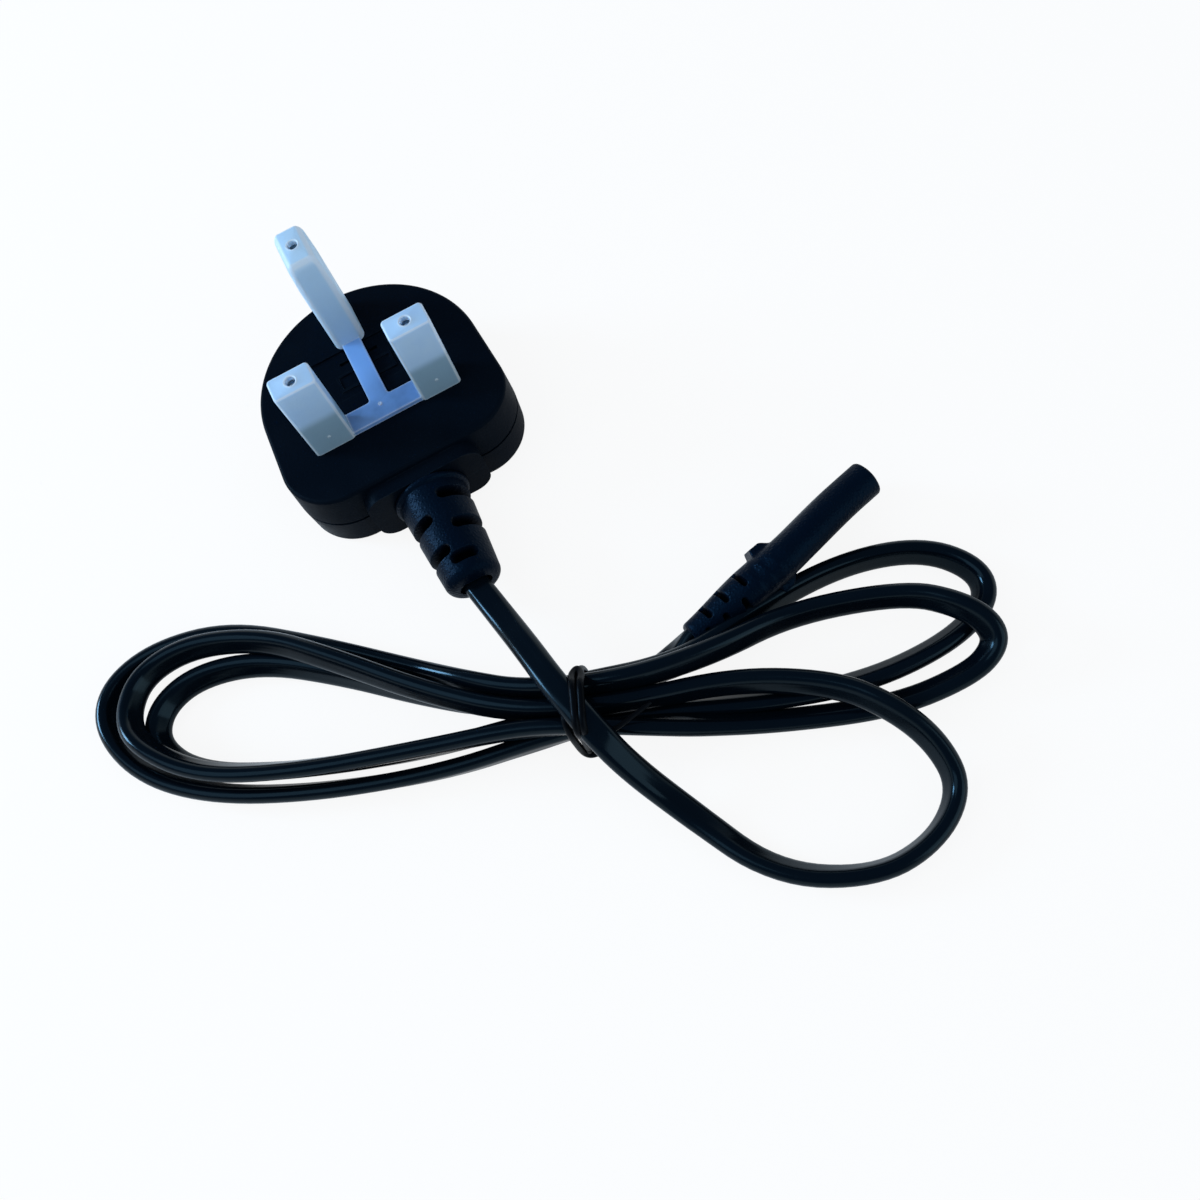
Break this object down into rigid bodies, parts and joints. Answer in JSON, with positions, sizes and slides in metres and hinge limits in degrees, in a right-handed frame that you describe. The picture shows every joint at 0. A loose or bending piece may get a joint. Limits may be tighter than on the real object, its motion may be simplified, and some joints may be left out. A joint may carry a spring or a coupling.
{
  "type": "power cord",
  "caption": "Mains lead: fused plug with rectangular pins under a translucent pin cover, flat cord in a tied hank, figure-of-eight appliance connector.",
  "frame": {"origin": "middle of the plug's back, on the floor", "axes": "+Z out of the plug's pin face, +Y towards the longest pin, the cord leaves towards -Y"},
  "size_m": [0.1558, 0.1469, 0.0407],
  "materials": {
    "shell": "satin black",
    "pin_metal": "nickel-plated",
    "sleeve": "satin black",
    "fuse_body": "unglazed ceramic",
    "fuse_metal": "plated",
    "contact_metal": "plain",
    "line_insulation": "smooth",
    "neutral_insulation": "smooth",
    "relief": "fine grain black",
    "cord_sheath": "smooth black",
    "tie": "smooth black",
    "insert": "smooth black",
    "cover": "translucent"
  },
  "bodies": {
    "lead": {"plug_base": "shell", "plug_back": "shell", "line_pin": "pin_metal", "neutral_pin": "pin_metal", "earth_pin": "pin_metal", "line_pin_sleeve": "sleeve", "neutral_pin_sleeve": "sleeve", "fuse_carrier": "shell", "fuse_tube": "fuse_body", "fuse_cap_line": "fuse_metal", "fuse_cap_load": "fuse_metal", "fuse_clip_line": "contact_metal", "fuse_clip_load": "contact_metal", "neutral_terminal": "contact_metal", "plug_line_core": "line_insulation", "plug_neutral_core": "neutral_insulation", "plug_strain_relief": "relief", "cord": "cord_sheath", "cord_tie": "tie", "connector_body": "relief", "connector_insert": "insert", "line_contact": "contact_metal", "neutral_contact": "contact_metal", "connector_line_core": "line_insulation", "connector_neutral_core": "neutral_insulation"},
    "cover": {"pin_cover": "cover"}
  },
  "joints": [
    {"name": "pin_cover_pull", "type": "slide", "parent": "lead", "child": "cover", "axis": [0, 0, 1], "range_m": [0, 0.024]}
  ]
}
